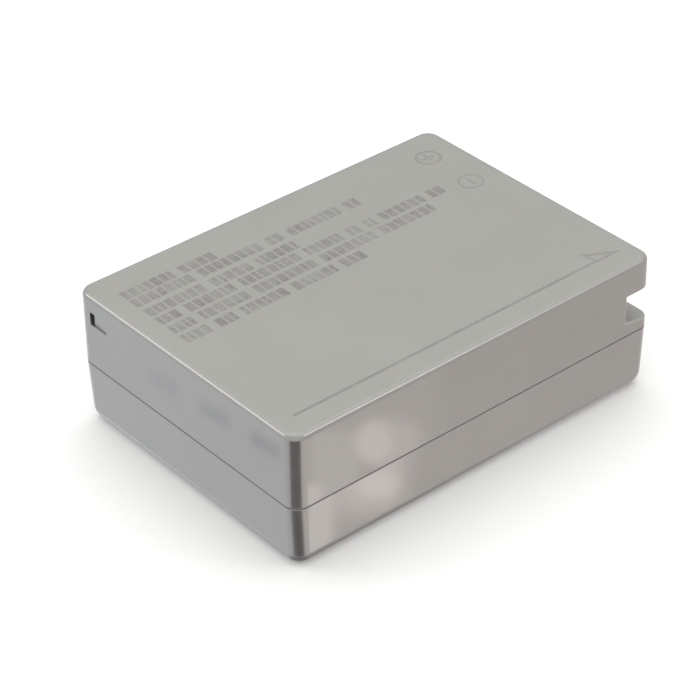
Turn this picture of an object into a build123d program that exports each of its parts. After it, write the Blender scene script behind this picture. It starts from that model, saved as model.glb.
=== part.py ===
"""Flat rechargeable battery pack for a compact camera.

A welded two-part case holds two stacked lithium-ion cells, a protection board and three
contacts that sit behind windows in one end. The origin is at the centre of the base. +X runs
along the pack to its contact end, +Y across it and +Z up. Sizes are in millimetres.
"""

import os
from build123d import *

os.makedirs("parts", exist_ok=True)

# Outer form
length = 45.0
width = 32.6
height = 14.9
seam_height = 6.9  # parting line, where the pack is longest and widest
corner_radius = 1.5  # upright corners, and the rolled edge under the lower case
top_edge_radius = 0.55
upper_draft = 0.45  # degrees
lower_draft = 1.75  # degrees

# Case walls and the welded joint between the two mouldings
side_wall = 1.0
end_wall = 1.0
roof = 0.9
floor = 0.9
cavity_radius = 0.5
seam_gap = 0.1  # open groove left round the outside of the joint
rim_break = 0.03  # bevel that takes the sharp edge off both rims
tongue_thickness = 0.4
tongue_height = 0.5  # reach of the tongue above the parting line
joint_clearance = 0.05

# Key notch at one corner of the contact end
notch_length = 3.5
notch_depth = 4.0
notch_height = 3.0
notch_rise = 1.55  # inner end of the notch's floor above the parting line
notch_lead = 0.6  # fall of the floor towards the end of the pack, as a lead-in
notch_wall = 0.6
notch_edge_radius = 0.15

# Latch pocket in the plain end: a shallow ramp that runs into a narrow slot
latch_to_side = 2.1  # from the side of the pack to the slot's far wall
latch_length = 2.55
latch_slot_width = 0.45
latch_height = 1.45
latch_drop = 1.75  # top of the pocket below the top of the pack
latch_ramp_lead = 0.17  # depth of the ramp at its shallow end
latch_ramp_depth = 0.24  # and where it meets the slot
latch_skin = 0.25  # wall left behind the slot

# Contacts and their windows in the contact end
contact_names = ("contact_negative", "contact_temperature", "contact_positive")
contact_pitch = 3.15
contact_rib = 1.15  # case wall left between two windows
contact_to_side = 7.65  # from the side of the pack to the middle contact
window_rise = 1.3  # lower edge of the windows above the parting line
window_drop = 2.3  # upper edge of the windows below the top of the pack
window_radius = 0.3
window_lead = 0.2  # bevel round the mouth of each window
contact_insulation = 0.45  # gap between neighbouring contact flanges
contact_flange = 0.35  # thickness of the flange that bears on the wall
contact_flange_lap = 0.35  # flange beyond the window, above and below
contact_clearance = 0.1  # pad to window wall
contact_reach = 0.5  # how far the pad stands into its window

# Protection board, upright behind the contacts, and the ribs that trap its long edges
board_thickness = 0.8
board_side_clearance = 0.4
board_top_clearance = 0.2
board_corner = 0.5
fence_clearance = 0.05
fence_thickness = 0.8
fence_height = 1.3

# Cells, stacked flat with their terminal ends towards the board
pad_thickness = 0.2
pad_margin = 0.6  # from the edge of a cell's flat face to the pad
cell_corner_radius = 1.6
cell_base_radius = 0.4
cell_side_clearance = 0.3  # taken up by the crush ribs
cell_end_clearance = 0.2
tab_bay = 2.6  # room for the tabs between the cells and the board
crush_rib_width = 0.8
crush_rib_pitch = 11.0
crush_rib_count = 3
terminal_width = 4.0
can_pad_width = 3.2
terminal_height = 2.4
terminal_radius = 0.6
terminal_rise = 0.45
can_pad_to_side = 8.5  # from the side of a cell to the pad welded on its can
vent_width = 5.0
vent_height = 2.0
vent_depth = 0.1

# Insulating card on the terminal ends, and the nickel tabs
card_thickness = 0.3
card_margin = 0.8
card_clearance = 0.3  # round each terminal
tab_thickness = 0.15
tab_width = 2.0
tab_bend_radius = 0.3
tab_overhang = 0.6  # past the terminal to the fold

# Parts on the board
switch_body = (1.1, 3.0, 4.4)
switch_lead_count = 4
switch_gap = 0.9  # from the fold of the negative tab
chip_body = (1.1, 2.9, 1.6)
chip_lead_count = 3
chip_to_edge = 5.3  # from the edge of the board on the contacts' side, as for the parts below
lead_width = 0.3
lead_length = 0.7
lead_height = 0.35
lead_pitch = 0.65
thermistor_size = (0.8, 1.6, 0.8)
thermistor_to_edge = 2.5
passive_size = (0.6, 1.0, 0.5)
passive_pitch = 1.6
passive_count = 4
passive_to_edge = 13.3
component_edge_break = 0.08

# Places that follow from the sizes above
lower_rim = seam_height - seam_gap / 2
upper_rim = seam_height + seam_gap / 2
tongue_top = seam_height + tongue_height
cavity_length = length - 2 * end_wall
cavity_width = width - 2 * side_wall
cavity_end = cavity_length / 2
cavity_side = cavity_width / 2
ceiling = height - roof
notch_floor = seam_height + notch_rise
notch_top = notch_floor + notch_height
notch_inner = length / 2 - notch_length
column_base = notch_floor - notch_lead - notch_wall
latch_top = height - latch_drop

contact_row_y = width / 2 - contact_to_side
window_width = contact_pitch - contact_rib
window_height = height - window_drop - seam_height - window_rise
window_z = seam_height + window_rise + window_height / 2
flange_width = contact_pitch - contact_insulation
flange_height = window_height + 2 * contact_flange_lap

board_front = cavity_end - contact_flange
board_back = board_front - board_thickness
board_low_y = -width / 2 + notch_depth + notch_wall + board_side_clearance
board_high_y = cavity_side - board_side_clearance
board_width = board_high_y - board_low_y
board_y = (board_high_y + board_low_y) / 2
board_height = ceiling - board_top_clearance - floor
board_z = floor + board_height / 2
fence_x = board_back - fence_clearance - fence_thickness / 2
chip_y = board_high_y - chip_to_edge
thermistor_y = board_high_y - thermistor_to_edge
passive_y = board_high_y - passive_to_edge

cell_width = cavity_width - 2 * cell_side_clearance
cell_thickness = (ceiling - floor - 3 * pad_thickness) / 2
cell_base = -cavity_end + cell_end_clearance
cell_cap = board_back - tab_bay
cell_length = cell_cap - cell_base
lower_cell_z = floor + pad_thickness + cell_thickness / 2
upper_cell_z = lower_cell_z + cell_thickness + pad_thickness
pad_length = cell_length - 2 * pad_margin
pad_width = cell_width - 2 * (cell_corner_radius + pad_margin)
tab_plane = cell_cap + terminal_rise
negative_pad_y = 0.0
negative_fold_y = negative_pad_y - terminal_width / 2 - tab_overhang
switch_y = negative_fold_y - tab_thickness / 2 - switch_gap - switch_body[1] / 2
lower_can_y = cell_width / 2 - can_pad_to_side
upper_can_y = -lower_can_y
card_height = 2 * cell_thickness + pad_thickness - 2 * card_margin
card_z = (lower_cell_z + upper_cell_z) / 2


def finish(piece, name):
    """Names a finished piece and writes it."""
    piece.part.label = name
    export_step(piece.part, f"parts/{name}.step")


# Lower case: a drafted tray with a rolled bottom edge and a tongue round its rim
with BuildPart() as lower_case:
    with BuildSketch(Plane.XY):
        Rectangle(length, width)
    extrude(amount=lower_rim)
    walls = lower_case.faces().filter_by(Plane.XY, reverse=True)
    draft(walls, Plane.XY.offset(lower_rim - rim_break), -lower_draft)
    below_rim = lower_case.edges().filter_by_position(Axis.Z, -rim_break, lower_rim - rim_break)
    fillet(below_rim, corner_radius)
    chamfer(lower_case.faces().sort_by(Axis.Z)[-1].edges(), rim_break)
    with BuildSketch(Plane.XY.offset(floor)):
        RectangleRounded(cavity_length, cavity_width, cavity_radius)
    extrude(amount=lower_rim, mode=Mode.SUBTRACT)
    with BuildSketch(Plane.XY.offset(lower_rim)):
        RectangleRounded(
            cavity_length + 2 * tongue_thickness,
            cavity_width + 2 * tongue_thickness,
            cavity_radius + tongue_thickness,
        )
        RectangleRounded(cavity_length, cavity_width, cavity_radius, mode=Mode.SUBTRACT)
    extrude(amount=tongue_top - lower_rim)
    with BuildSketch(Plane.XY.offset(floor)):
        with Locations((fence_x, 0)):
            Rectangle(fence_thickness, cavity_width)
    extrude(amount=fence_height)
    with BuildSketch(Plane.XY.offset(floor)):
        with Locations(((cell_base + cell_cap) / 2, 0)):
            with GridLocations(
                crush_rib_pitch, cavity_width - cell_side_clearance, crush_rib_count, 2
            ):
                Rectangle(crush_rib_width, cell_side_clearance)
    extrude(amount=lower_rim - floor)
finish(lower_case, "lower_case")

# Upper case: a deep lid with the key notch, the latch pocket and the contact windows
with BuildPart() as upper_case:
    with BuildSketch(Plane.XY.offset(upper_rim)):
        Rectangle(length, width)
    extrude(amount=height - upper_rim)
    walls = upper_case.faces().filter_by(Plane.XY, reverse=True)
    draft(walls, Plane.XY.offset(upper_rim + rim_break), upper_draft)
    corners = upper_case.edges().filter_by_position(Axis.Z, upper_rim + rim_break, height - top_edge_radius)
    fillet(corners, corner_radius)
    fillet(upper_case.faces().sort_by(Axis.Z)[-1].edges(), top_edge_radius)
    chamfer(upper_case.faces().sort_by(Axis.Z)[0].edges(), rim_break)
    with BuildSketch(Plane.XY.offset(upper_rim)):
        RectangleRounded(cavity_length, cavity_width, cavity_radius)
    extrude(amount=ceiling - upper_rim, mode=Mode.SUBTRACT)
    # Column behind the notch, hung from the roof
    with BuildSketch(Plane.XY.offset(column_base)):
        with Locations((cavity_end, -cavity_side)):
            Rectangle(
                notch_length + notch_wall - end_wall,
                notch_depth + notch_wall - side_wall,
                align=(Align.MAX, Align.MIN),
            )
            Rectangle(2 * cavity_radius, 2 * cavity_radius)
    extrude(amount=ceiling - column_base)
    # Fence that traps the upper edge of the board, and the crush ribs
    with BuildSketch(Plane.XY.offset(ceiling)):
        with Locations((fence_x, cavity_side)):
            Rectangle(fence_thickness, cavity_side - board_low_y, align=(Align.CENTER, Align.MAX))
    extrude(amount=-fence_height)
    with BuildSketch(Plane.XY.offset(ceiling)):
        with Locations(((cell_base + cell_cap) / 2, 0)):
            with GridLocations(
                crush_rib_pitch, cavity_width - cell_side_clearance, crush_rib_count, 2
            ):
                Rectangle(crush_rib_width, cell_side_clearance)
    extrude(amount=tongue_top - ceiling)
    # Rebate that takes the lower case's tongue
    with BuildSketch(Plane.XY.offset(upper_rim)):
        rebate = tongue_thickness + joint_clearance
        RectangleRounded(cavity_length + 2 * rebate, cavity_width + 2 * rebate, cavity_radius + rebate)
    extrude(amount=tongue_top - upper_rim, mode=Mode.SUBTRACT)
    with BuildSketch(Plane.XZ.offset(width / 2 - notch_depth)):
        with BuildLine():
            Polyline(
                (notch_inner, notch_floor),
                (length / 2, notch_floor - notch_lead),
                (length / 2 + end_wall, notch_floor - notch_lead),
                (length / 2 + end_wall, notch_top),
                (notch_inner, notch_top),
                close=True,
            )
        make_face()
    extrude(amount=notch_depth + side_wall, mode=Mode.SUBTRACT)
    mouth = upper_case.edges(Select.LAST).filter_by_position(Axis.Z, notch_floor - notch_lead, notch_top)
    fillet(mouth.filter_by(Edge.is_interior, reverse=True), notch_edge_radius)
    with BuildSketch(Plane.YZ.offset(cavity_end)):
        with Locations((contact_row_y, window_z)):
            with GridLocations(contact_pitch, contact_pitch, len(contact_names), 1):
                RectangleRounded(window_width, window_height, window_radius)
    extrude(amount=2 * end_wall, mode=Mode.SUBTRACT)
    with BuildSketch(Plane.YZ.offset(length / 2)):
        with Locations((contact_row_y, window_z)):
            with GridLocations(contact_pitch, contact_pitch, len(contact_names), 1):
                RectangleRounded(
                    window_width + 2 * window_lead,
                    window_height + 2 * window_lead,
                    window_radius + window_lead,
                )
    extrude(amount=-window_lead, taper=45, mode=Mode.SUBTRACT)
    with BuildSketch(Plane.XY.offset(latch_top - latch_height)):
        with BuildLine():
            latch_far = width / 2 - latch_to_side
            Polyline(
                (-length / 2 + latch_ramp_lead, latch_far - latch_length),
                (-length / 2 + latch_ramp_depth, latch_far - latch_slot_width),
                (-cavity_end - latch_skin, latch_far - latch_slot_width),
                (-cavity_end - latch_skin, latch_far),
                (-length / 2 - end_wall, latch_far),
                (-length / 2 - end_wall, latch_far - latch_length),
                close=True,
            )
        make_face()
    extrude(amount=latch_height, mode=Mode.SUBTRACT)
finish(upper_case, "upper_case")

# Cells: drawn cans with a raised terminal, a pad welded to the can and a shallow vent groove
for cell_name, cell_z, can_pad_y in (
    ("lower_cell", lower_cell_z, lower_can_y),
    ("upper_cell", upper_cell_z, upper_can_y),
):
    with BuildPart() as cell:
        with BuildSketch(Plane.YZ.offset(cell_base)):
            with Locations((0, cell_z)):
                RectangleRounded(cell_width, cell_thickness, cell_corner_radius)
        extrude(amount=cell_length)
        fillet(cell.faces().sort_by(Axis.X)[0].edges(), cell_base_radius)
        with BuildSketch(Plane.YZ.offset(cell_cap)):
            with Locations((negative_pad_y, cell_z)):
                RectangleRounded(terminal_width, terminal_height, terminal_radius)
            with Locations((can_pad_y, cell_z)):
                RectangleRounded(can_pad_width, terminal_height, terminal_radius)
        extrude(amount=terminal_rise)
        with BuildSketch(Plane.YZ.offset(cell_cap)):
            with Locations((-can_pad_y, cell_z)):
                Ellipse(vent_width / 2, vent_height / 2)
        extrude(amount=-vent_depth, mode=Mode.SUBTRACT)
    finish(cell, cell_name)

# Adhesive pads under, between and over the cells
for pad_name, pad_z in (
    ("lower_pad", floor),
    ("middle_pad", lower_cell_z + cell_thickness / 2),
    ("upper_pad", upper_cell_z + cell_thickness / 2),
):
    with BuildPart() as pad:
        with BuildSketch(Plane.XY.offset(pad_z)):
            with Locations(((cell_base + cell_cap) / 2, 0)):
                Rectangle(pad_length, pad_width)
        extrude(amount=pad_thickness)
    finish(pad, pad_name)

# Insulating card, punched round the terminals
with BuildPart() as insulator_card:
    with BuildSketch(Plane.YZ.offset(cell_cap)):
        with Locations((0, card_z)):
            Rectangle(cell_width - 2 * card_margin, card_height)
        with Locations((negative_pad_y, lower_cell_z), (negative_pad_y, upper_cell_z)):
            RectangleRounded(
                terminal_width + 2 * card_clearance,
                terminal_height + 2 * card_clearance,
                terminal_radius + card_clearance,
                mode=Mode.SUBTRACT,
            )
        with Locations((lower_can_y, lower_cell_z), (upper_can_y, upper_cell_z)):
            RectangleRounded(
                can_pad_width + 2 * card_clearance,
                terminal_height + 2 * card_clearance,
                terminal_radius + card_clearance,
                mode=Mode.SUBTRACT,
            )
    extrude(amount=card_thickness)
finish(insulator_card, "insulator_card")

# Negative and positive tabs: a strip that lies on its terminal and folds over to the board
for tab_name, tab_y, tab_z, pad_reach in (
    ("negative_tab", negative_pad_y, lower_cell_z, terminal_width / 2),
    ("positive_tab", upper_can_y, upper_cell_z, can_pad_width / 2),
):
    with BuildPart() as tab:
        with BuildSketch(Plane.XY.offset(tab_z - tab_width / 2)):
            with BuildLine():
                FilletPolyline(
                    (tab_plane + tab_thickness / 2, tab_y + pad_reach),
                    (tab_plane + tab_thickness / 2, tab_y - pad_reach - tab_overhang),
                    (board_back, tab_y - pad_reach - tab_overhang),
                    radius=tab_bend_radius,
                )
            trace(line_width=tab_thickness)
        extrude(amount=tab_width)
    finish(tab, tab_name)

# Middle tab: links the two cells in series and sends a folded tongue to the board
with BuildPart() as middle_tab:
    with BuildSketch(Plane.YZ.offset(tab_plane)):
        with Locations((lower_can_y, card_z)):
            Rectangle(tab_width, upper_cell_z - lower_cell_z + tab_width)
        with Locations((lower_can_y + tab_width / 2, upper_cell_z)):
            Rectangle(
                lower_can_y - negative_pad_y + tab_width,
                tab_width,
                align=(Align.MAX, Align.CENTER),
            )
    extrude(amount=tab_thickness)
    with BuildSketch(Plane.YZ.offset(tab_plane)):
        with Locations((lower_can_y + tab_width / 2, card_z)):
            Rectangle(tab_thickness, tab_width, align=(Align.MAX, Align.CENTER))
    extrude(amount=board_back - tab_plane)
finish(middle_tab, "middle_tab")

# Protection board
with BuildPart() as protection_board:
    with BuildSketch(Plane.YZ.offset(board_back)):
        with Locations((board_y, board_z)):
            Rectangle(board_width, board_height)
    extrude(amount=board_thickness)
    chamfer(protection_board.edges().filter_by(Axis.X), board_corner)
finish(protection_board, "protection_board")

# Contacts: a flange clamped between board and wall, with a pad that stands in the window
for place, contact_name in enumerate(contact_names):
    contact_y = contact_row_y + (place - (len(contact_names) - 1) / 2) * contact_pitch
    with BuildPart() as contact:
        with BuildSketch(Plane.YZ.offset(board_front)):
            with Locations((contact_y, window_z)):
                Rectangle(flange_width, flange_height)
        extrude(amount=contact_flange)
        with BuildSketch(Plane.YZ.offset(cavity_end)):
            with Locations((contact_y, window_z)):
                RectangleRounded(
                    window_width - 2 * contact_clearance,
                    window_height - 2 * contact_clearance,
                    window_radius,
                )
        extrude(amount=contact_reach)
        chamfer(contact.faces().sort_by(Axis.X)[-1].edges(), contact_clearance)
    finish(contact, contact_name)

# Chips on the inner face of the board: a moulded body with flat leads along two edges
for chip_name, body, place_y, leads in (
    ("switch_chip", switch_body, switch_y, switch_lead_count),
    ("protection_chip", chip_body, chip_y, chip_lead_count),
):
    body_depth, body_width, body_height = body
    with BuildPart() as chip:
        with BuildSketch(Plane.YZ.offset(board_back)):
            with Locations((place_y, board_z)):
                Rectangle(body_width, body_height)
        extrude(amount=-body_depth)
        chamfer(chip.faces().sort_by(Axis.X)[0].edges(), component_edge_break)
        with BuildSketch(Plane.YZ.offset(board_back)):
            with Locations((place_y, board_z)):
                with GridLocations(lead_pitch, body_height + lead_length, leads, 2):
                    Rectangle(lead_width, lead_length)
        extrude(amount=-lead_height)
    finish(chip, chip_name)

# Thermistor, a plain chip beside the temperature contact
with BuildPart() as thermistor:
    with BuildSketch(Plane.YZ.offset(board_back)):
        with Locations((thermistor_y, board_z)):
            Rectangle(thermistor_size[1], thermistor_size[2])
    extrude(amount=-thermistor_size[0])
    chamfer(thermistor.edges().filter_by(Axis.Z), component_edge_break)
finish(thermistor, "thermistor")

# Row of small resistors and capacitors
with BuildPart() as board_passives:
    with BuildSketch(Plane.YZ.offset(board_back)):
        with Locations((passive_y, board_z)):
            with GridLocations(passive_pitch, passive_pitch, 1, passive_count):
                Rectangle(passive_size[1], passive_size[2])
    extrude(amount=-passive_size[0])
    chamfer(board_passives.edges().filter_by(Axis.Z), component_edge_break)
finish(board_passives, "board_passives")
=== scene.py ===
"""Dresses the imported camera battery: its moulded case, print, contacts, inner parts and studio.

The CAD frame sets every size. The sealed pack lies on its base, with +X along it to the
contact end and +Z up through the printed face.
"""

from math import cos, radians, sin

import bpy
import numpy as np
from bpy.props import FloatProperty, FloatVectorProperty, IntProperty, PointerProperty
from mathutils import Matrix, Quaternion, Vector


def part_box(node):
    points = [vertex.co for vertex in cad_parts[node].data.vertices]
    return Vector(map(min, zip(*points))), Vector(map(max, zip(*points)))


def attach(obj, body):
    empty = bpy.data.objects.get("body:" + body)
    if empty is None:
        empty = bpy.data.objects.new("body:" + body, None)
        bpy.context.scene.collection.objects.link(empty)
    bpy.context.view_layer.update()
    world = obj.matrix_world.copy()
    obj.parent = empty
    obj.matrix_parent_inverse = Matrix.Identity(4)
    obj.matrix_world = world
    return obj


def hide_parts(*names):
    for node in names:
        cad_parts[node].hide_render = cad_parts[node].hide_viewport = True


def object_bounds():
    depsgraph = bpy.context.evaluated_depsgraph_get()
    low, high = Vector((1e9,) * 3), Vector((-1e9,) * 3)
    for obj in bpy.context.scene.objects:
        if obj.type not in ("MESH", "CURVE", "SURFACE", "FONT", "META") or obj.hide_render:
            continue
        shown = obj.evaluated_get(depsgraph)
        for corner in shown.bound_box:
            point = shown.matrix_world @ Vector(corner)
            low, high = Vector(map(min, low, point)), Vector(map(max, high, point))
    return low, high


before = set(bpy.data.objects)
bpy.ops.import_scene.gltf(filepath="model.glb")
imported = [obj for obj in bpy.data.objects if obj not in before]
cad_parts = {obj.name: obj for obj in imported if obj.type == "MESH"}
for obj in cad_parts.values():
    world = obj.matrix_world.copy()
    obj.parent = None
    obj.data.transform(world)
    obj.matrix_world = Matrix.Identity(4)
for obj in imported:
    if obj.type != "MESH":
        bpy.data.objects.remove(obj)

bl_info = {
    "name": "Camera battery",
    "version": (1, 0, 0),
    "blender": (4, 5, 0),
    "location": "3D View > Sidebar > Battery",
    "description": "Finishes a flat camera battery around its packed CAD frame",
    "category": "Object",
}

MM = 0.001
CAD_LOW, CAD_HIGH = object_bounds()
TOP = CAD_HIGH.z
SEAM_GAP = 0.1 * MM
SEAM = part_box("upper_case")[0].z - SEAM_GAP / 2
MERGE_STEP = 1e-4 * MM  # points of a moulding that agree to this become one
CASE_CREASE, INK_CREASE, FLOOR_CREASE = radians(28), radians(60), radians(30)

# Painted highlight on the lip of the key notch: reach from the contact end, top below the face, and
# border
KEY_REACH = 4.2 * MM
KEY_DROP = 2.5 * MM
KEY_BORDER = 0.4 * MM

# Plastic. A pair is where a smooth step starts and is full.
SPARK_SCALE = 7000.0  # grain of the moulded faces, which shows through the ink
CLOUD_SCALE = 170.0
CLOUD_SHADE = 0.05
CLOUD_ROUGHNESS = 0.04
LEVEL_FACES = (0.6, 0.99)  # upright share of the normal on a wall and on a level face
FACE_GLOSS_LOSS = 0.9
COAT_ROUGHNESS = 0.02
# Edges lightened towards the rubbed colour: partly rubbed plastic, partly a painted highlight along
# the edges.
RUB_AND_HIGHLIGHT_WIDTH = 0.22 * MM
RUB_AND_HIGHLIGHT_SHARE = 0.55
RAGGEDNESS = 0.6
RAG_SCALE = 2600.0
EDGE_TURN = (0.01, 0.12)  # how far a softened normal leaves the true one
SEAM_BORDER = 0.05 * MM
DUST_ROUGHNESS = 0.5

# Ink, metal and sheets
INK_CLOUD_SCALE = 420.0
FLECK_SCALE = 4600.0
INK_FLECKS = (0.38, 0.62)
FADE_START = 0.1
INK_ROUGHNESS, INK_ROUGHNESS_RANGE = 0.4, 0.2
METAL_GRAIN_SCALE, METAL_CLOUD_SCALE = 5200.0, 380.0
LINE_ROUGHNESS = 0.18
LINE_DEPTH = 0.004 * MM
SHEET_CLOUD_SCALE = 500.0
SHEET_FLECKS = (0.45, 0.68)
SHEET_RUB_WIDTH, SHEET_RUB_SHARE, SHEET_RAGGEDNESS = 0.1 * MM, 0.3, 0.8
SHEET_CLOUD_ROUGHNESS = 0.12

CONTACT_NODES = ("contact_negative", "contact_temperature", "contact_positive")

# Print, in millimetres from the plain end and from the notch's side
ARROW_LINE = ((2.5, 2.92), (40.0, 2.92))
ARROW_HEAD = ((40.0, 2.85), (39.8, 4.4), (42.5, 2.9))
POSITIVE_SIGN = (40.9, 28.1)
NEGATIVE_SIGN = (41.0, 21.8)
SIGN_ARM = 0.27  # half a stroke of a sign, as a share of its ring
RING_POINTS = 48
BAR_START = 2.3
BAR_ROWS = ((28.3, 13.5), (26.6, 30.9), (24.5, 22.0), (22.7, 38.4), (20.8, 35.5), (18.8, 24.8))
BAR_WIDTHS = (0.55, 0.75, 0.85, 0.95)
BAR_GAP = 0.12
WORD_GAP = 0.7
GROUPS_IN_ROW = 20  # more than any row holds
HEAD_WIDTH = 1.15  # the arrow head's line, as a share of the other lines
THIN_FILM = 0.9  # ink where strokes cross and on the arrow head, as a share of the film

# Inks: share that hides the plastic, and how much of that wear takes off
LINE_INK = (0.72, 0.2)
SIGN_INK = (0.55, 0.25)
BAR_INK = (1.0, 0.42)

# Headings of the light are in degrees: azimuth from -Y towards +X, then elevation.
# Washes over the room: heading, cosines where the wash starts and is full, and colour
ROOM_COLOUR = (0.86, 0.86, 0.86)
ROOM_WASHES = (
    (0, 90, -0.3, 0.9, (1.0, 1.0, 0.99)),
    (-145, -35, 0.3, 0.98, (0.93, 0.955, 0.99)),
    (40, -35, 0.3, 0.95, (0.84, 0.795, 0.765)),
    (140, -8, 0.9, 0.985, (0.58, 0.58, 0.59)),
    (130, -35, 0.97, 0.995, (1.4, 1.36, 1.3)),
    (0, -90, 0.72, 0.96, (0.22, 0.22, 0.23)),
    (140, -62, 0.88, 0.98, (0.3, 0.3, 0.31)),
    (-147, -46, 0.98, 0.996, (0.85, 0.87, 0.91)),
)
# Cards that the walls mirror: outline, heading, half width, half height, slant, soft border and
# colour. Sizes are in degrees, but the border of an oval is a share of its size.
ROOM_CARDS = (
    ("SQUARE", -40, -39, 33, 11, 0.0, 6, (0.05, 0.018, 0.03)),
    ("SQUARE", 39.3, -39, 1.2, 3.5, 0.0, 1.2, (1.2, 1.13, 1.1)),
    ("SQUARE", 14, -38.5, 14, 4, 0.0, 6, (1.22, 1.15, 1.12)),
    ("SQUARE", 38.62, -36.75, 0.4, 0.62, 0.0, 0.25, (2.15, 2.05, 2.0)),
    ("OVAL", 40.15, -36.3, 0.7, 0.55, 0.0, 0.4, (2.6, 2.32, 2.25)),
    ("OVAL", 39.72, -36.3, 0.4, 0.45, 0.0, 0.5, (4.0, 3.58, 3.48)),
    ("SQUARE", 41.95, -40.4, 0.35, 0.5, 0.0, 0.85, (3.1, 2.75, 2.65)),
    ("OVAL", 42.15, -40.6, 0.45, 0.32, 0.0, 0.5, (4.5, 4.0, 3.9)),
    ("SQUARE", 37.95, -37.45, 0.1, 0.15, 0.0, 0.25, (3.6, 3.4, 3.3)),
    ("SQUARE", 40.5, -41.4, 0.15, 1.2, 0.0, 0.35, (3.4, 3.2, 3.1)),
    ("SQUARE", -144.9, -35.0, 0.2, 0.02, -0.6, 0.26, (0.6, 0.64, 0.74)),
    ("SQUARE", -143.6, -35.7, 0.2, 0.02, -0.6, 0.26, (0.3, 0.34, 0.44)),
    ("SQUARE", -142.2, -36.4, 0.2, 0.02, -0.6, 0.26, (0.15, 0.19, 0.29)),
)
CARD_FRONT = (0.5, 0.6)  # cosines that keep a card off the other side of the room
# Area lights: name, heading, distance, size, power and colour
PANELS = (
    ("back panel", -138, 32, 0.9, 0.3, 0.85, (1.0, 0.97, 0.92)),
    ("side panel", 38, 39, 0.9, 0.2, 0.5, (1.0, 0.97, 0.94)),
    ("overhead panel", 140, 70, 1.0, 1.0, 3.0, (1.0, 1.0, 1.0)),
)
FLOOR_HALF, FLOOR_POINTS, FLOOR_DROP = 2.0, 9, 0.02 * MM
SENSOR_WIDTH = 36.0
CLIP_START = 0.005


# Surfaces


def merged_copy(cad):
    """Gives a CAD node's points and triangles with the points that meet joined.

    Points in the same MERGE_STEP become one, and triangles that shrink to a line are dropped.
    """
    source = cad.data
    points = np.empty(3 * len(source.vertices))
    source.vertices.foreach_get("co", points)
    points = points.reshape(-1, 3)
    corners = np.empty(len(source.loops), dtype=np.int64)
    source.loops.foreach_get("vertex_index", corners)
    cells = np.round(points / MERGE_STEP).astype(np.int64)
    _, first, place = np.unique(cells, axis=0, return_index=True, return_inverse=True)
    triangles = place.reshape(-1)[corners].reshape(-1, 3)
    a, b, c = triangles.T
    return points[first], triangles[(a != b) & (b != c) & (c != a)]


def ink_ribbon(path, width, thickness, closed):
    """Lays ink along a path on the top face.

    At each point of the path a low dome stands across the mitred direction. For s from -1 to 1
    it is s * width / 2 to the side and thickness * (1 - s^4) high, and a flat underside that
    lies a quarter of the thickness in the plastic closes it.
    """
    path = np.asarray(path, dtype=float)
    before, after = np.roll(path, 1, axis=0), np.roll(path, -1, axis=0)
    if not closed:
        before[0] = 2 * path[0] - path[1]
        after[-1] = 2 * path[-1] - path[-2]
    into = (path - before) / np.linalg.norm(path - before, axis=1)[:, None]
    out = (after - path) / np.linalg.norm(after - path, axis=1)[:, None]
    along = into + out
    along /= np.linalg.norm(along, axis=1)[:, None]
    side = np.stack((-along[:, 1], along[:, 0]), axis=1)
    mitre = 1 / np.maximum(np.sum(along * out, axis=1), 0.3)
    s = np.array((-1.0, -0.9, -0.6, 0.0, 0.6, 0.9, 1.0))
    plan = path[:, None, :] + (side * mitre[:, None])[:, None, :] * (s * width / 2)[None, :, None]
    height = np.broadcast_to(TOP + thickness * (0.75 - s**4), plan.shape[:2])
    points = np.concatenate((plan, height[:, :, None]), axis=2).reshape(-1, 3)
    rings, ring = len(path), len(s)
    row = np.arange(rings if closed else rings - 1)[:, None]
    column = np.arange(ring)[None, :]
    ahead, beside = (row + 1) % rings, (column + 1) % ring
    quads = np.stack(
        (row * ring + column, ahead * ring + column, ahead * ring + beside, row * ring + beside),
        axis=-1,
    )
    faces = quads.reshape(-1, 4).tolist()
    if not closed:
        faces.append(list(range(ring)))
        faces.append(list(range(rings * ring - 1, (rings - 1) * ring - 1, -1)))
    return points, faces


def circle(centre, radius, count):
    """Points of a circle: centre + radius * (cos t, sin t), with t going once round."""
    t = np.linspace(0, 2 * np.pi, count, endpoint=False)
    return np.asarray(centre) + radius * np.stack((np.cos(t), np.sin(t)), axis=1)


def joined(shapes):
    """Puts several (points, faces) shapes into one pair of lists."""
    points, faces, start = [], [], 0
    for shape_points, shape_faces in shapes:
        points.append(shape_points)
        faces += [[start + corner for corner in face] for face in shape_faces]
        start += len(shape_points)
    return np.concatenate(points), faces


def floor_sheet(half_size, count, drop):
    """A level sheet: x and y run from -half_size to half_size on a grid, at z = -drop."""
    step = np.linspace(-half_size, half_size, count)
    x, y = np.meshgrid(step, step, indexing="ij")
    points = np.stack((x, y, np.full_like(x, -drop)), axis=-1).reshape(-1, 3)
    row, column = np.meshgrid(np.arange(count - 1), np.arange(count - 1), indexing="ij")
    corner = row * count + column
    quads = np.stack((corner, corner + count, corner + count + 1, corner + 1), axis=-1)
    return points, quads.reshape(-1, 4)


def add_mesh(name, points, faces, material, sharp_angle):
    """Makes a mesh object at the origin, smooth except across edges sharper than an angle."""
    mesh = bpy.data.meshes.new(name)
    mesh.from_pydata(np.asarray(points).tolist(), [], [list(map(int, face)) for face in faces])
    if mesh.validate():
        raise ValueError(f"the mesh of {name} had bad faces")
    mesh.shade_smooth()
    mesh.set_sharp_from_angle(angle=sharp_angle)
    mesh.materials.append(material)
    piece = bpy.data.objects.new(name, mesh)
    bpy.context.collection.objects.link(piece)
    return piece


# Shader building


def new_material(name):
    """A node material with only its output and a Principled BSDF; gives both node and tree."""
    material = bpy.data.materials.new(name)
    material.use_nodes = True
    tree = material.node_tree
    return material, tree, tree.nodes["Principled BSDF"]


def node(tree, kind, **values):
    """Adds a node and sets its own properties."""
    made = tree.nodes.new(kind)
    for key, value in values.items():
        setattr(made, key, value)
    return made


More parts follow.
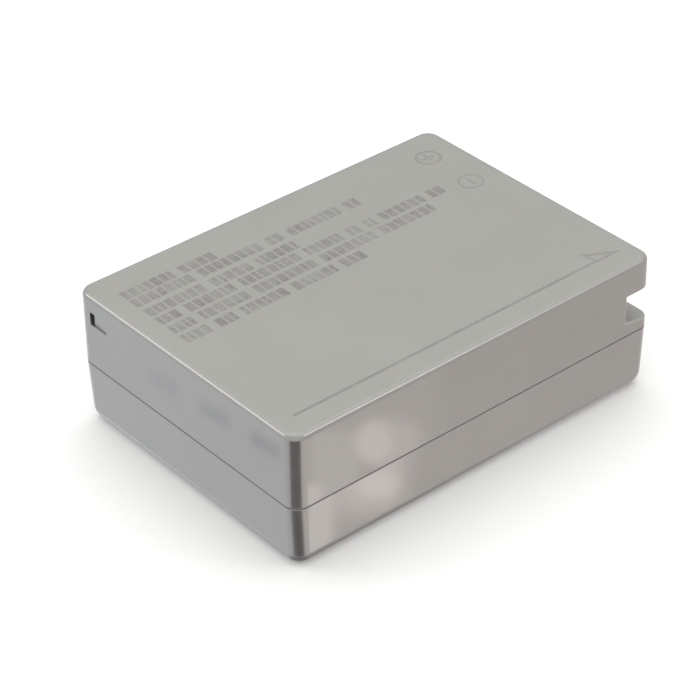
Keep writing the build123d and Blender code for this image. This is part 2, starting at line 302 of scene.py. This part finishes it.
def feed(tree, target, source):
    """Sets a socket to a constant, or links it to another socket."""
    if isinstance(source, bpy.types.NodeSocket):
        tree.links.new(source, target)
    else:
        target.default_value = source


def calc(tree, operation, *terms):
    """One Math node with its inputs fed in order; gives its result."""
    made = node(tree, "ShaderNodeMath", operation=operation)
    for target, term in zip(made.inputs, terms):
        feed(tree, target, term)
    return made.outputs[0]


def ramp(tree, value, low, high):
    """0 below low, 1 above high and a smooth step between them."""
    made = node(tree, "ShaderNodeMapRange", interpolation_type="SMOOTHSTEP")
    for name, term in (("Value", value), ("From Min", low), ("From Max", high)):
        feed(tree, made.inputs[name], term)
    return made.outputs["Result"]


def blend(tree, share, first, second, blend_type="MIX"):
    """Mixes two colours by a share."""
    made = node(tree, "ShaderNodeMix", data_type="RGBA", blend_type=blend_type)
    for place, term in ((0, share), (6, first), (7, second)):
        feed(tree, made.inputs[place], term)
    return made.outputs[2]


def noise(tree, vector, scale, detail=2.0, roughness=0.5):
    """A Noise texture's value, from 0 to 1."""
    made = node(tree, "ShaderNodeTexNoise")
    terms = (("Vector", vector), ("Scale", scale), ("Detail", detail), ("Roughness", roughness))
    for name, term in terms:
        feed(tree, made.inputs[name], term)
    return made.outputs["Fac"]


def stretched(tree, vector, factors):
    """Coordinates multiplied along each axis."""
    made = node(tree, "ShaderNodeMapping")
    feed(tree, made.inputs["Vector"], vector)
    made.inputs["Scale"].default_value = factors
    return made.outputs["Vector"]


def bump(tree, height, distance, strength=1.0):
    """A Bump node's normal."""
    made = node(tree, "ShaderNodeBump")
    for name, term in (("Height", height), ("Distance", distance), ("Strength", strength)):
        feed(tree, made.inputs[name], term)
    return made.outputs["Normal"]


def new_group(name, inputs, outputs):
    """An empty shader node group with named sockets; gives the tree and its two end nodes."""
    group = bpy.data.node_groups.new(name, "ShaderNodeTree")
    for label, kind, value in inputs:
        socket = group.interface.new_socket(label, in_out="INPUT", socket_type=kind)
        if value is not None:
            socket.default_value = value
    for label, kind in outputs:
        group.interface.new_socket(label, in_out="OUTPUT", socket_type=kind)
    return group, group.nodes.new("NodeGroupInput"), group.nodes.new("NodeGroupOutput")


def place_group(tree, group, **values):
    """Puts a group in a material. Underscores in the names stand for spaces."""
    made = node(tree, "ShaderNodeGroup", node_tree=group)
    for label, value in values.items():
        feed(tree, made.inputs[label.replace("_", " ")], value)
    return made


def grain_group():
    """Fine grain of a moulded or rolled skin: a height and a mask of cloudy variation."""
    group, start, end = new_group(
        "Skin grain",
        (
            ("Vector", "NodeSocketVector", None),
            ("Grain Scale", "NodeSocketFloat", 9000.0),
            ("Cloud Scale", "NodeSocketFloat", 160.0),
        ),
        (("Height", "NodeSocketFloat"), ("Cloud", "NodeSocketFloat")),
    )
    vector = start.outputs["Vector"]
    feed(group, end.inputs["Height"], noise(group, vector, start.outputs["Grain Scale"], 3.0, 0.6))
    cloud = noise(group, vector, start.outputs["Cloud Scale"], 3.0, 0.55)
    feed(group, end.inputs["Cloud"], ramp(group, cloud, 0.3, 0.7))
    return group


def edge_group():
    """How rounded the skin is near a point: 0 on flats and 1 on edges, with a ragged border."""
    group, start, end = new_group(
        "Edge rub",
        (
            ("Vector", "NodeSocketVector", None),
            ("Width", "NodeSocketFloat", 0.25 * MM),
            ("Raggedness", "NodeSocketFloat", 0.5),
        ),
        (("Mask", "NodeSocketFloat"),),
    )
    soft = node(group, "ShaderNodeBevel", samples=6)
    feed(group, soft.inputs["Radius"], start.outputs["Width"])
    true = node(group, "ShaderNodeNewGeometry")
    agree = node(group, "ShaderNodeVectorMath", operation="DOT_PRODUCT")
    feed(group, agree.inputs[0], soft.outputs["Normal"])
    feed(group, agree.inputs[1], true.outputs["Normal"])
    turn = calc(group, "SUBTRACT", 1.0, agree.outputs["Value"])
    rag = noise(group, start.outputs["Vector"], RAG_SCALE, 3.0, 0.6)
    lift = calc(group, "MULTIPLY", calc(group, "SUBTRACT", rag, 0.5), start.outputs["Raggedness"])
    ragged = calc(group, "ADD", turn, calc(group, "MULTIPLY", lift, turn))
    feed(group, end.inputs["Mask"], ramp(group, ragged, *EDGE_TURN))
    return group


# Materials


def case_material(settings, groups):
    """Grey pearl plastic: a matt spark texture on level faces and a smooth gloss on the walls."""
    material, tree, shader = new_material("case plastic")
    place = node(tree, "ShaderNodeTexCoord")
    vector = place.outputs["Object"]
    axis = node(tree, "ShaderNodeSeparateXYZ")
    feed(tree, axis.inputs[0], place.outputs["Normal"])
    level = ramp(tree, calc(tree, "ABSOLUTE", axis.outputs["Z"]), *LEVEL_FACES)
    grain = place_group(
        tree, groups["grain"], Vector=vector, Grain_Scale=SPARK_SCALE, Cloud_Scale=CLOUD_SCALE
    )
    rub_and_highlight = place_group(
        tree, groups["edge"], Vector=vector, Width=RUB_AND_HIGHLIGHT_WIDTH, Raggedness=RAGGEDNESS
    )
    skin = blend(tree, level, (*settings.wall_colour, 1), (*settings.face_colour, 1))
    shade = calc(
        tree, "MULTIPLY_ADD", grain.outputs["Cloud"], CLOUD_SHADE, 1 - CLOUD_SHADE / 2
    )
    skin = blend(tree, 1.0, skin, shade, "MULTIPLY")
    # Edges take the lighter rubbed colour: partly wear, partly a painted highlight.
    rub_and_highlight_share = calc(tree, "MULTIPLY", rub_and_highlight.outputs["Mask"], RUB_AND_HIGHLIGHT_SHARE)
    skin = blend(tree, rub_and_highlight_share, skin, (*settings.rub_and_highlight_colour, 1))
    # Painted highlight: the edges of the key notch near the contact end, below the face and above
    # the seam, take the lighter key colour.
    spot = node(tree, "ShaderNodeSeparateXYZ")
    feed(tree, spot.inputs[0], vector)
    key = calc(tree, "MULTIPLY", *(
        ramp(tree, spot.outputs[name], start, start + KEY_BORDER)
        for name, start in (("X", CAD_HIGH.x - KEY_REACH), ("Z", SEAM + KEY_BORDER))
    ))
    below = ramp(tree, spot.outputs["Z"], TOP - KEY_DROP + KEY_BORDER, TOP - KEY_DROP)
    key = calc(tree, "MULTIPLY", key, below)
    lip = place_group(
        tree, groups["edge"], Vector=vector, Width=KEY_BORDER, Raggedness=RAGGEDNESS
    )
    lightened = calc(tree, "MULTIPLY", lip.outputs["Mask"], key)
    skin = blend(tree, lightened, skin, (*settings.key_highlight_colour, 1))
    # Seam band: painted shade in the gap between the mouldings, and dust. It has a darker colour,
    # no pearl or coat, and is rougher.
    off_seam = calc(tree, "ABSOLUTE", calc(tree, "SUBTRACT", spot.outputs["Z"], SEAM))
    shaded_dusty = settings.seam_width / 2
    outside_seam_band = ramp(tree, off_seam, shaded_dusty, shaded_dusty + SEAM_BORDER)
    skin = blend(tree, outside_seam_band, (*settings.seam_shade_and_dust_colour, 1), skin)
    feed(tree, shader.inputs["Base Color"], skin)
    wall = settings.wall_roughness
    matt = calc(tree, "MULTIPLY_ADD", level, settings.face_roughness - wall, wall)
    cloudy = calc(tree, "MULTIPLY_ADD", grain.outputs["Cloud"], CLOUD_ROUGHNESS, matt)
    in_seam_band = calc(tree, "SUBTRACT", 1.0, outside_seam_band)
    rough = calc(tree, "MULTIPLY_ADD", in_seam_band, DUST_ROUGHNESS, cloudy)
    feed(tree, shader.inputs["Roughness"], rough)
    feed(tree, shader.inputs["Metallic"], calc(tree, "MULTIPLY", outside_seam_band, settings.pearl))
    gloss = calc(tree, "MULTIPLY_ADD", level, -FACE_GLOSS_LOSS * settings.gloss, settings.gloss)
    feed(tree, shader.inputs["Coat Weight"], calc(tree, "MULTIPLY", gloss, outside_seam_band))
    shader.inputs["Coat Roughness"].default_value = COAT_ROUGHNESS
    relief = calc(tree, "MULTIPLY", grain.outputs["Height"], level)
    feed(tree, shader.inputs["Normal"], bump(tree, relief, settings.grain_depth))
    return material


def ink_material(name, settings, plastic, groups, opacity, wear):
    """Faded grey ink in cloudy patches; the plastic shows where it is thin or gone."""
    material, tree, shader = new_material(name)
    vector = node(tree, "ShaderNodeTexCoord").outputs["Object"]
    grain = place_group(
        tree, groups["grain"], Vector=vector, Grain_Scale=SPARK_SCALE, Cloud_Scale=INK_CLOUD_SCALE
    )
    fade = calc(tree, "MULTIPLY_ADD", grain.outputs["Cloud"], settings.fade, FADE_START)
    ink = blend(tree, fade, (*settings.ink_colour, 1), (*settings.worn_colour, 1))
    flecks = ramp(tree, noise(tree, vector, FLECK_SCALE, 2.0, 0.6), *INK_FLECKS)
    speckled = calc(tree, "MULTIPLY_ADD", flecks, opacity * wear, opacity * (1.0 - wear))
    patches = calc(tree, "MULTIPLY_ADD", grain.outputs["Cloud"], -wear, 1.0)
    cover = calc(tree, "MULTIPLY", speckled, patches)
    feed(tree, shader.inputs["Base Color"], blend(tree, cover, (*plastic.face_colour, 1), ink))
    pearl = calc(tree, "MULTIPLY_ADD", cover, -plastic.pearl, plastic.pearl)
    feed(tree, shader.inputs["Metallic"], pearl)
    rough = calc(
        tree, "MULTIPLY_ADD", grain.outputs["Height"], INK_ROUGHNESS_RANGE, INK_ROUGHNESS
    )
    feed(tree, shader.inputs["Roughness"], rough)
    feed(tree, shader.inputs["Normal"], bump(tree, grain.outputs["Height"], plastic.grain_depth))
    return material


def brushed_metal(name, groups, colour, tarnish, roughness, along):
    """Metal with fine lines along one axis and a cloudy tarnish."""
    material, tree, shader = new_material(name)
    vector = node(tree, "ShaderNodeTexCoord").outputs["Object"]
    lines = noise(tree, stretched(tree, vector, along), 1.0, 4.0, 0.65)
    grain = place_group(
        tree,
        groups["grain"],
        Vector=vector,
        Grain_Scale=METAL_GRAIN_SCALE,
        Cloud_Scale=METAL_CLOUD_SCALE,
    )
    skin = blend(tree, grain.outputs["Cloud"], (*colour, 1), (*tarnish, 1))
    feed(tree, shader.inputs["Base Color"], skin)
    rough = calc(tree, "MULTIPLY_ADD", lines, LINE_ROUGHNESS, roughness - LINE_ROUGHNESS / 2)
    feed(tree, shader.inputs["Roughness"], rough)
    shader.inputs["Metallic"].default_value = 1.0
    feed(tree, shader.inputs["Normal"], bump(tree, lines, LINE_DEPTH))
    return material


def dull_sheet(name, groups, colour, fleck, roughness, grain_scale, depth, fibre=(1, 1, 1)):
    """Card, foam, laminate or epoxy: a dull skin with flecks of a second colour and a grain."""
    material, tree, shader = new_material(name)
    vector = stretched(tree, node(tree, "ShaderNodeTexCoord").outputs["Object"], fibre)
    grain = place_group(
        tree, groups["grain"], Vector=vector, Grain_Scale=grain_scale, Cloud_Scale=SHEET_CLOUD_SCALE
    )
    rub_and_highlight = place_group(
        tree, groups["edge"], Vector=vector, Width=SHEET_RUB_WIDTH, Raggedness=SHEET_RAGGEDNESS
    )
    flecks = ramp(tree, grain.outputs["Height"], *SHEET_FLECKS)
    skin = blend(tree, flecks, (*colour, 1), (*fleck, 1))
    rub_and_highlight_share = calc(tree, "MULTIPLY", rub_and_highlight.outputs["Mask"], SHEET_RUB_SHARE)
    skin = blend(tree, rub_and_highlight_share, skin, (*fleck, 1))
    feed(tree, shader.inputs["Base Color"], skin)
    rough = calc(tree, "MULTIPLY_ADD", grain.outputs["Cloud"], SHEET_CLOUD_ROUGHNESS, roughness)
    feed(tree, shader.inputs["Roughness"], rough)
    feed(tree, shader.inputs["Normal"], bump(tree, grain.outputs["Height"], depth))
    return material


# Settings


class CaseSettings(bpy.types.PropertyGroup):
    """Looks of the two case mouldings."""

    face_colour: FloatVectorProperty(
        name="Face colour", description="Level faces",
        subtype="COLOR", default=(0.335, 0.332, 0.312),
    )
    wall_colour: FloatVectorProperty(
        name="Wall colour", description="Smooth walls",
        subtype="COLOR", default=(0.325, 0.317, 0.306),
    )
    # Rubbed colour: partly polish from wear, partly a painted highlight on the edges.
    rub_and_highlight_colour: FloatVectorProperty(
        name="Rubbed colour", description="Plastic polished along the edges", subtype="COLOR",
        default=(0.4, 0.395, 0.375),
    )
    # Key colour: a painted highlight on the edges of the key notch.
    key_highlight_colour: FloatVectorProperty(
        name="Key colour", description="Edges of the key notch, rubbed by its rib", subtype="COLOR",
        default=(0.6, 0.575, 0.55),
    )
    pearl: FloatProperty(
        name="Pearl", description="Share of metal flake", default=0.83, min=0, max=1
    )
    gloss: FloatProperty(
        name="Gloss", description="Clear skin of the walls", default=0.8, min=0, max=1
    )
    face_roughness: FloatProperty(
        name="Face roughness", description="Roughness of the level faces", default=0.5, min=0, max=1
    )
    wall_roughness: FloatProperty(
        name="Wall roughness", description="Roughness of the walls", default=0.29, min=0, max=1
    )
    # Seam colour: painted shade and dust in the seam between the mouldings.
    seam_shade_and_dust_colour: FloatVectorProperty(
        name="Seam colour", description="Dust in the seam",
        subtype="COLOR", default=(0.27, 0.257, 0.25),
    )
    seam_width: FloatProperty(
        name="Seam", description="Width of the dusty seam",
        default=0.17 * MM, unit="LENGTH", precision=6,
    )
    grain_depth: FloatProperty(
        name="Grain depth", description="Depth of the spark texture", default=0.006 * MM,
        unit="LENGTH", precision=6,
    )


class PrintSettings(bpy.types.PropertyGroup):
    """The print on the top face, which is plain bars, an arrow and the two pole signs."""

    ink_colour: FloatVectorProperty(
        name="Ink", description="Printed colour", subtype="COLOR", default=(0.16, 0.15, 0.139)
    )
    worn_colour: FloatVectorProperty(
        name="Worn ink", description="Colour of worn print",
        subtype="COLOR", default=(0.2, 0.19, 0.177),
    )
    fade: FloatProperty(name="Fade", description="Strength of the wear", default=0.7, min=0, max=1)
    film: FloatProperty(
        name="Film", description="Thickness of the ink",
        default=0.012 * MM, unit="LENGTH", precision=6,
    )
    line_width: FloatProperty(
        name="Line", description="Width of the arrow and of the signs", default=0.38 * MM,
        unit="LENGTH", precision=5,
    )
    sign_size: FloatProperty(
        name="Sign", description="Diameter of the rings round the signs", default=2.9 * MM,
        unit="LENGTH", precision=5,
    )
    bar_height: FloatProperty(
        name="Bar", description="Height of the bars that stand for lines of print",
        default=1.4 * MM, unit="LENGTH", precision=5,
    )
    seed: IntProperty(name="Seed", description="Changes how the bars are grouped", default=4, min=0)


class StageSettings(bpy.types.PropertyGroup):
    """Floor, lights and camera."""

    floor_colour: FloatVectorProperty(
        name="Floor", description="Colour of the floor", subtype="COLOR", default=(0.96, 0.96, 0.96)
    )
    room_strength: FloatProperty(
        name="Room", description="Strength of the room's light", default=1.0, min=0
    )
    lens: FloatProperty(name="Lens", description="Focal length", default=133.1, min=1)
    camera_place: FloatVectorProperty(
        name="Camera", description="Where the camera stands", subtype="XYZ", unit="LENGTH",
        default=(-0.13315, -0.15824, 0.15036),
    )
    camera_aim: FloatVectorProperty(
        name="Aim", description="Point that the camera looks at", subtype="XYZ", unit="LENGTH",
        default=(-0.00185, 0.00052, 0.00628),
    )
    camera_roll: FloatProperty(
        name="Roll", description="Tilt of the camera", subtype="ANGLE", default=radians(-1.24)
    )


# Operators


def shared_groups():
    """The node groups that several materials use, built once."""
    made = bpy.data.node_groups
    return {
        "grain": made.get("Skin grain") or grain_group(),
        "edge": made.get("Edge rub") or edge_group(),
    }


def set_material(name, material):
    """Gives a CAD node one material."""
    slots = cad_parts[name].data.materials
    slots.clear()
    slots.append(material)


class BATTERY_OT_case(bpy.types.Operator):
    """Make the two case mouldings"""

    bl_idname = "battery.case"
    bl_label = "Case mouldings"

    def execute(self, context):
        material = case_material(context.scene.battery_case, shared_groups())
        for name, part in (("upper_moulding", "upper_case"), ("lower_moulding", "lower_case")):
            points, triangles = merged_copy(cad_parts[part])
            piece = add_mesh(name, points, triangles, material, CASE_CREASE)
            even = piece.modifiers.new("even light", "WEIGHTED_NORMAL")
            even.mode = "FACE_AREA"
            even.weight = 100
            even.keep_sharp = True
            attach(piece, "root")
            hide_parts(part)
        return {"FINISHED"}


def on_face(places):
    """Turns places measured from the edges of the top face into the frame's metres."""
    return np.asarray(places) * MM + np.array((CAD_LOW.x, CAD_LOW.y))


def bar_places(settings):
    """Middle and width of each bar: groups of 2 to 8 bars fill each row up to its end."""
    order = np.random.default_rng(settings.seed)
    places, widths = [], []
    for row, end in BAR_ROWS:
        sizes = order.integers(2, 9, GROUPS_IN_ROW)
        wide = order.choice(BAR_WIDTHS, sizes.sum())
        gaps = np.full(len(wide), BAR_GAP)
        gaps[np.cumsum(sizes)[:-1]] += WORD_GAP
        x = BAR_START + np.cumsum(wide + gaps) - wide / 2
        inside = x + wide / 2 < end
        places.append(np.stack((x, np.full_like(x, row)), axis=1)[inside])
        widths.append(wide[inside])
    return on_face(np.concatenate(places)), np.concatenate(widths) * MM


class BATTERY_OT_print(bpy.types.Operator):
    """Make the arrow, the pole signs and the bars that stand for lines of print"""

    bl_idname = "battery.print"
    bl_label = "Print"

    def execute(self, context):
        settings = context.scene.battery_print
        plastic, groups = context.scene.battery_case, shared_groups()
        line_ink = ink_material("line ink", settings, plastic, groups, *LINE_INK)
        sign_ink = ink_material("sign ink", settings, plastic, groups, *SIGN_INK)
        bar_ink = ink_material("bar ink", settings, plastic, groups, *BAR_INK)
        width, film = settings.line_width, settings.film
        arm = SIGN_ARM * settings.sign_size
        radius = (settings.sign_size - width) / 2
        positive, negative = on_face(POSITIVE_SIGN), on_face(NEGATIVE_SIGN)
        along, across = np.array((arm, 0)), np.array((0, arm))
        line = (ink_ribbon(on_face(ARROW_LINE), width, film, False),)
        head = (ink_ribbon(on_face(ARROW_HEAD), HEAD_WIDTH * width, THIN_FILM * film, True),)
        plus = (
            ink_ribbon(circle(positive, radius, RING_POINTS), width, film, True),
            ink_ribbon((positive - across, positive + across), width, film, False),
            ink_ribbon((positive - along, positive + along), width, THIN_FILM * film, False),
        )
        minus = (
            ink_ribbon(circle(negative, radius, RING_POINTS), width, film, True),
            ink_ribbon((negative - across, negative + across), width, film, False),
        )
        rise = np.array((0, settings.bar_height / 2))
        bars = [
            ink_ribbon((place - rise, place + rise), wide, film, False)
            for place, wide in zip(*bar_places(settings))
        ]
        for name, shapes, material in (
            ("arrow_line", line, line_ink),
            ("arrow_head", head, sign_ink),
            ("positive_sign", plus, sign_ink),
            ("negative_sign", minus, sign_ink),
            ("printed_bars", bars, bar_ink),
        ):
            piece = add_mesh(name, *joined(shapes), material, INK_CREASE)
            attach(piece, "root")
        return {"FINISHED"}


class BATTERY_OT_contacts(bpy.types.Operator):
    """Finish the gilt contacts"""

    bl_idname = "battery.contacts"
    bl_label = "Contacts"

    def execute(self, context):
        gilt = brushed_metal(
            "gilt contact", shared_groups(), colour=(0.86, 0.62, 0.25), tarnish=(0.78, 0.54, 0.22),
            roughness=0.2, along=(900, 9000, 900),
        )
        for name in CONTACT_NODES:
            set_material(name, gilt)
        return {"FINISHED"}


class BATTERY_OT_core(bpy.types.Operator):
    """Finish the cells, the board and the other parts that the case hides"""

    bl_idname = "battery.core"
    bl_label = "Inner parts"

    def execute(self, context):
        groups = shared_groups()
        can = brushed_metal(
            "drawn can", groups, colour=(0.74, 0.75, 0.76), tarnish=(0.64, 0.65, 0.66),
            roughness=0.32, along=(300, 9000, 9000),
        )
        nickel = brushed_metal(
            "rolled nickel", groups, colour=(0.68, 0.65, 0.6), tarnish=(0.58, 0.55, 0.5),
            roughness=0.28, along=(9000, 600, 9000),
        )
        foam = dull_sheet(
            "foam tape", groups, colour=(0.8, 0.79, 0.73), fleck=(0.7, 0.69, 0.64),
            roughness=0.8, grain_scale=3500.0, depth=0.05 * MM,
        )
        card = dull_sheet(
            "pressed card", groups, colour=(0.5, 0.55, 0.46), fleck=(0.42, 0.46, 0.38),
            roughness=0.7, grain_scale=2400.0, depth=0.02 * MM, fibre=(1, 0.3, 1),
        )
        board = dull_sheet(
            "solder mask", groups, colour=(0.03, 0.2, 0.09), fleck=(0.05, 0.26, 0.12),
            roughness=0.32, grain_scale=3000.0, depth=0.006 * MM,
        )
        epoxy = dull_sheet(
            "moulded epoxy", groups, colour=(0.03, 0.03, 0.033), fleck=(0.07, 0.07, 0.075),
            roughness=0.55, grain_scale=6000.0, depth=0.01 * MM,
        )
        finishes = {
            can: ("lower_cell", "upper_cell"),
            nickel: ("negative_tab", "middle_tab", "positive_tab"),
            foam: ("lower_pad", "middle_pad", "upper_pad"),
            card: ("insulator_card",),
            board: ("protection_board",),
            epoxy: ("switch_chip", "protection_chip", "thermistor", "board_passives"),
        }
        for material, names in finishes.items():
            for name in names:
                set_material(name, material)
        return {"FINISHED"}


def heading(azimuth, elevation):
    """Unit vector at an azimuth, in degrees from -Y towards +X, and an elevation."""
    turn, lift = radians(azimuth), radians(elevation)
    return Vector((cos(lift) * sin(turn), -cos(lift) * cos(turn), sin(lift)))


def facing(tree, view, direction):
    """Cosine between the view and a direction."""
    made = node(tree, "ShaderNodeVectorMath", operation="DOT_PRODUCT")
    feed(tree, made.inputs[0], view)
    made.inputs[1].default_value = direction
    return made.outputs["Value"]


def card_mask(tree, view, outline, azimuth, elevation, wide, tall, slant, soft):
    """1 inside a card in the room, 0 outside it and a smooth step across its soft border.

    The view's place is its tangents to the side of the card's heading and below it, and the
    slant tilts the second. A square's border is crossed along each, and an oval's along the
    root of the sum of their squares, each taken as a share of its half size.
    """
    centre = heading(azimuth, elevation)
    side = Vector((-centre.y, centre.x, 0)).normalized()
    down = (centre.cross(-side) + slant * side).normalized()
    ahead = facing(tree, view, centre)
    offsets = [calc(tree, "DIVIDE", facing(tree, view, axis), ahead) for axis in (side, down)]
    mask = ramp(tree, ahead, *CARD_FRONT)
    if outline == "OVAL":
        shares = [
            calc(tree, "ABSOLUTE", calc(tree, "DIVIDE", off, radians(half)))
            for off, half in zip(offsets, (wide, tall))
        ]
        squares = [calc(tree, "POWER", share, 2.0) for share in shares]
        reach = calc(tree, "SQRT", calc(tree, "ADD", *squares))
        return calc(tree, "MULTIPLY", mask, ramp(tree, reach, 1 + soft, 1 - soft))
    for off, half in zip(offsets, (wide, tall)):
        off = calc(tree, "ABSOLUTE", off)
        inside = ramp(tree, off, radians(half + soft), radians(half))
        mask = calc(tree, "MULTIPLY", mask, inside)
    return mask


def studio_world(settings):
    """A soft white room: paler overhead, cool on the left, warm on the right, with mirrored cards.

    Each wash is a smooth step of the cosine between the view and a heading.
    """
    world = bpy.data.worlds.new("studio room")
    world.use_nodes = True
    tree = world.node_tree
    background = tree.nodes["Background"]
    view = node(tree, "ShaderNodeTexCoord").outputs["Generated"]
    colour = (*ROOM_COLOUR, 1)
    for azimuth, elevation, low, high, tint in ROOM_WASHES:
        wash = ramp(tree, facing(tree, view, heading(azimuth, elevation)), low, high)
        colour = blend(tree, wash, colour, (*tint, 1))
    for *card, tint in ROOM_CARDS:
        colour = blend(tree, card_mask(tree, view, *card), colour, (*tint, 1))
    feed(tree, background.inputs["Color"], colour)
    background.inputs["Strength"].default_value = settings.room_strength
    return world


def add_panel(name, azimuth, elevation, distance, size, power, colour):
    """A square area light that faces the pack from a heading."""
    light = bpy.data.lights.new(name, "AREA")
    light.energy = power
    light.size = size
    light.color = colour
    lamp = bpy.data.objects.new(name, light)
    direction = heading(azimuth, elevation)
    lamp.location = direction * distance
    lamp.rotation_euler = direction.to_track_quat("Z", "Y").to_euler()
    bpy.context.collection.objects.link(lamp)
    return lamp


class BATTERY_OT_stage(bpy.types.Operator):
    """Make the floor, the lights and the camera"""

    bl_idname = "battery.stage"
    bl_label = "Stage"

    def execute(self, context):
        settings = context.scene.battery_stage
        scene = context.scene
        scene.view_settings.view_transform = "Standard"
        scene.world = studio_world(settings)

        paper, tree, shader = new_material("pale paper")
        vector = node(tree, "ShaderNodeTexCoord").outputs["Object"]
        fibre = noise(tree, vector, 900.0, 3.0, 0.6)
        shade = calc(tree, "MULTIPLY_ADD", fibre, 0.02, 0.99)
        skin = blend(tree, 1.0, (*settings.floor_colour, 1), shade, "MULTIPLY")
        feed(tree, shader.inputs["Base Color"], skin)
        shader.inputs["Roughness"].default_value = 0.9
        floor = add_mesh(
            "floor", *floor_sheet(FLOOR_HALF, FLOOR_POINTS, FLOOR_DROP), paper, FLOOR_CREASE
        )
        floor.visible_glossy = False

        for panel in PANELS:
            add_panel(*panel)

        lens = bpy.data.cameras.new("camera")
        lens.lens = settings.lens
        lens.sensor_width = SENSOR_WIDTH
        lens.clip_start = CLIP_START
        camera = bpy.data.objects.new("camera", lens)
        look = Vector(settings.camera_aim) - Vector(settings.camera_place)
        camera.rotation_mode = "QUATERNION"
        roll = Quaternion((0, 0, 1), settings.camera_roll)
        camera.rotation_quaternion = look.to_track_quat("-Z", "Y") @ roll
        camera.location = settings.camera_place
        context.collection.objects.link(camera)
        scene.camera = camera
        return {"FINISHED"}


class BATTERY_PT_panel(bpy.types.Panel):
    """Lists the battery's pieces"""

    bl_idname = "BATTERY_PT_panel"
    bl_label = "Camera battery"
    bl_space_type = "VIEW_3D"
    bl_region_type = "UI"
    bl_category = "Battery"

    def draw(self, context):
        for operator in OPERATORS:
            self.layout.operator(operator.bl_idname)
        for name in SETTINGS:
            group = getattr(context.scene, name)
            box = self.layout.box()
            for key in group.__annotations__:
                box.prop(group, key)


OPERATORS = (
    BATTERY_OT_case,
    BATTERY_OT_print,
    BATTERY_OT_contacts,
    BATTERY_OT_core,
    BATTERY_OT_stage,
)
SETTINGS = {
    "battery_case": CaseSettings,
    "battery_print": PrintSettings,
    "battery_stage": StageSettings,
}


def register():
    for group in SETTINGS.values():
        bpy.utils.register_class(group)
    for name, group in SETTINGS.items():
        setattr(bpy.types.Scene, name, PointerProperty(type=group))
    for operator in OPERATORS:
        bpy.utils.register_class(operator)
    bpy.utils.register_class(BATTERY_PT_panel)


def unregister():
    bpy.utils.unregister_class(BATTERY_PT_panel)
    for operator in reversed(OPERATORS):
        bpy.utils.unregister_class(operator)
    for name, group in SETTINGS.items():
        delattr(bpy.types.Scene, name)
        bpy.utils.unregister_class(group)


def main():
    register()
    bpy.ops.battery.case()
    bpy.ops.battery.print()
    bpy.ops.battery.contacts()
    bpy.ops.battery.core()
    bpy.ops.battery.stage()


if __name__ == "__main__":
    main()
